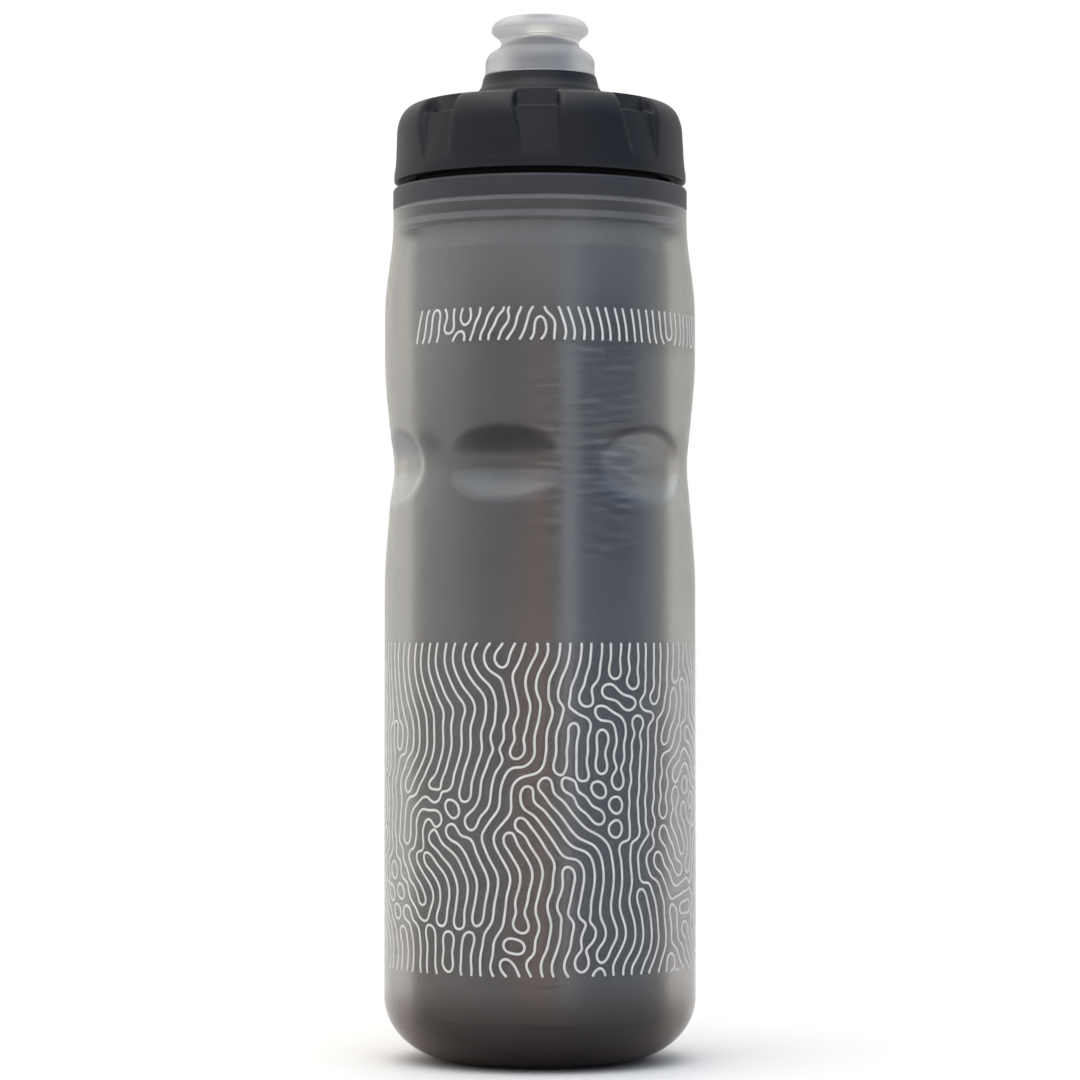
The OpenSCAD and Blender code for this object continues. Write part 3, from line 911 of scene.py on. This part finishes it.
def make_print(name, band, field, size, keep=None):
    """Prints a band of lines round the shell where the field is zero; keep says which places are printed."""
    rows = round((band[1] - band[0]) / size[0] * len(field))
    vertices, faces = [], []
    for points, closed in contours(field[:rows + 1], (size[0] * (rows + 1) / len(field), size[1])):
        points = evened(points, closed, INK_STEP)
        inside = [keep is None or keep(s) for s in points[:, 0]]
        closed = closed and all(inside)
        runs = [[]]
        for point, good in zip(points, inside):
            if good:
                runs[-1].append(point)
            elif runs[-1]:
                runs.append([])
        for run in runs:
            if len(run) > 2:
                ribbon(np.array(run), closed, band[0], vertices, faces)
    ink = add_object(name, vertices, faces, smooth_angle=60)
    dress(ink, INK)
    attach(ink, "bottle")


def print_grid(band):
    """Grid for one band, with a margin above it because the field wraps round: shape and size."""
    size = (band[1] - band[0] + 16 * MM, 2 * math.pi * BODY_R)
    return (round(size[0] / PRINT_CELL), round(size[1] / PRINT_CELL)), size


def make_lower_print():
    """Tall stripes that bend to and fro, broken into rows of rounded ends."""
    shape, size = print_grid(LOWER_BAND)
    shift = 5 * MM * random_field(shape, size, (50 * MM, 75 * MM), 108, 0.5)
    lead = 0.5 * np.tanh(3 * random_field(shape, size, (24 * MM, 72 * MM), 208, 0.5))
    make_print("print_lower", LOWER_BAND, labyrinth(shape, size, 4.88 * MM, shift, lead, 8, 60), size)


def make_upper_print():
    """Short stripes that lean right on the left of the front, turn over, and stand upright further right."""
    shape, size = print_grid(UPPER_BAND)
    z = np.linspace(0, size[0], shape[0], endpoint=False)[:, None]
    s = np.linspace(0, size[1], shape[1], endpoint=False)[None, :]
    s = np.where(s > size[1] / 2, s - size[1], s) / MM
    lean = 0.3 + 0.45 * smoothstep(-34, -12, s) - smoothstep(-8, 8, s) + 0.15 * smoothstep(10, 40, s)
    turned = np.tanh(3 * random_field(shape, size, (14 * MM, 40 * MM), 203, 0.5))
    lead = 0.5 * np.where((s > -26) & (s < 4), turned, 1)
    field = labyrinth(shape, size, 4.4 * MM, -lean * (z - (UPPER_BAND[1] - UPPER_BAND[0]) / 2), lead, 3, 25)

    def printed(s):
        return not UNPRINTED[0] < math.degrees(s / BODY_R) % 360 < UNPRINTED[1]

    make_print("print_upper", UPPER_BAND, field, size, keep=printed)


make_lower_print()
make_upper_print()

# ---------------------------------------------------------------- stage, lights and camera


def make_floor():
    """A pale floor that brightens into the backdrop's white well behind the bottle."""
    outline = [(r, 0) for r in (0.001, 0.1, 0.3, 0.6, 1, 2, 5, 12)]
    angles = full_turn(96)
    rows = revolve(outline, angles)
    floor = add_object("floor", list(rows.reshape(-1, 3)), grid_faces(len(outline), len(angles), False))
    mat = material("pale_floor", Roughness=0.6)
    shade = noise(mat, 3, detail=4)
    paint(mat, "Base Color", ramp(mat, shade, [(0.3, (0.86, 0.86, 0.855)), (0.7, (0.9, 0.9, 0.895))]))
    reach = calculate(mat, "ShaderNodeVectorMath", "LENGTH", place(mat))
    far = remap(mat, reach, 0.06, 1.1, interpolation="SMOOTHSTEP")
    glow = node(mat, "ShaderNodeEmission")
    glow.inputs["Color"].default_value = rgba(1)
    surface = mat.node_tree.nodes["Principled BSDF"].outputs["BSDF"]
    mix_shaders(mat, far, surface, glow.outputs["Emission"], "Material Output")
    dress(floor, mat)


# Brightness of the studio by direction: the angle from the front, positive to the right
STUDIO = [(-180, (0.7, 0.675, 0.61)), (-160, (0.86, 0.83, 0.76)), (-100, (0.95, 0.95, 0.93)),
          (-78, (0.7, 0.71, 0.72)), (-58, (0.42, 0.43, 0.45)), (-40, (0.27, 0.275, 0.285)),
          (-22, (0.23, 0.22, 0.22)), (4, (0.3, 0.22, 0.205)), (14, (0.2, 0.18, 0.18)),
          (22, (0.74, 0.8, 0.88)), (30, (0.74, 0.8, 0.88)), (42, (0.02, 0.09, 0.22)),
          (82, (0.01, 0.075, 0.2)), (104, (0.6, 0.61, 0.6)), (118, (0.85, 0.85, 0.83)),
          (140, (0.62, 0.62, 0.59)), (180, (0.7, 0.675, 0.61))]
WARM_CEILING = (1.5, 1.43, 1.34)
COOL_CEILING = (0.76, 0.86, 1.04)


def make_world():
    """A pale studio, bright behind and at the sides and dimmer in front, under a ceiling that is warm on
    the left and cool on the right. The world looks plain white itself."""
    world = bpy.data.worlds.new("studio")
    world.use_nodes = True
    direction = node(world, "ShaderNodeTexCoord").outputs["Generated"]
    around = gradient(world, azimuth(world, direction), STUDIO, math.radians(1), "EASE")
    aside = calculate(world, "ShaderNodeVectorMath", "DOT_PRODUCT", direction, (0.8, -0.6, 0))
    lean = remap(world, aside, -0.35, 0.65, interpolation="SMOOTHSTEP")
    ceiling = blend(world, lean, WARM_CEILING, COOL_CEILING)
    high = remap(world, axes(world, direction)["Z"], 0.2, 0.8, interpolation="SMOOTHSTEP")
    lit = world.node_tree.nodes["Background"]
    link(world, blend(world, high, around, ceiling), lit.inputs["Color"])
    plain = node(world, "ShaderNodeBackground")
    plain.inputs["Color"].default_value = rgba(1)
    seen = node(world, "ShaderNodeLightPath").outputs["Is Camera Ray"]
    mix_shaders(world, seen, lit.outputs["Background"], plain.outputs["Background"], "World Output")
    bpy.context.scene.world = world


def area_light(name, turn, elevation, distance, width, height, power):
    """A soft box aimed at the bottle's middle; turn 0 is in front, and positive is to the right."""
    light = bpy.data.lights.new(name, "AREA")
    light.shape = "RECTANGLE"
    light.size, light.size_y = width, height
    light.energy = power
    obj = bpy.data.objects.new(name, light)
    bpy.context.scene.collection.objects.link(obj)
    a, e = math.radians(turn), math.radians(elevation)
    target = Vector((0, 0, (cad_box[0].z + cad_box[1].z) / 2))
    back = Vector((math.sin(a) * math.cos(e), -math.cos(a) * math.cos(e), math.sin(e)))
    obj.location = target + back * distance
    obj.rotation_mode = "QUATERNION"
    obj.rotation_quaternion = (-back).to_track_quat("-Z", "Y")
    obj.visible_camera = False


def make_camera():
    camera = bpy.data.cameras.new("camera")
    camera.sensor_width = 36
    camera.lens = 124.3
    camera.clip_start, camera.clip_end = 0.01, 60
    obj = bpy.data.objects.new("camera", camera)
    bpy.context.scene.collection.objects.link(obj)
    obj.location = (0, -0.890, 0.0995)
    target = Vector((0, 0, 0.1234))
    obj.rotation_mode = "QUATERNION"
    obj.rotation_quaternion = (target - obj.location).to_track_quat("-Z", "Y")
    bpy.context.scene.camera = obj


make_floor()
make_world()
area_light("overhead", turn=-10, elevation=68, distance=1.3, width=1.2, height=1.2, power=8)
make_camera()
bpy.context.scene.view_settings.view_transform = "Standard"
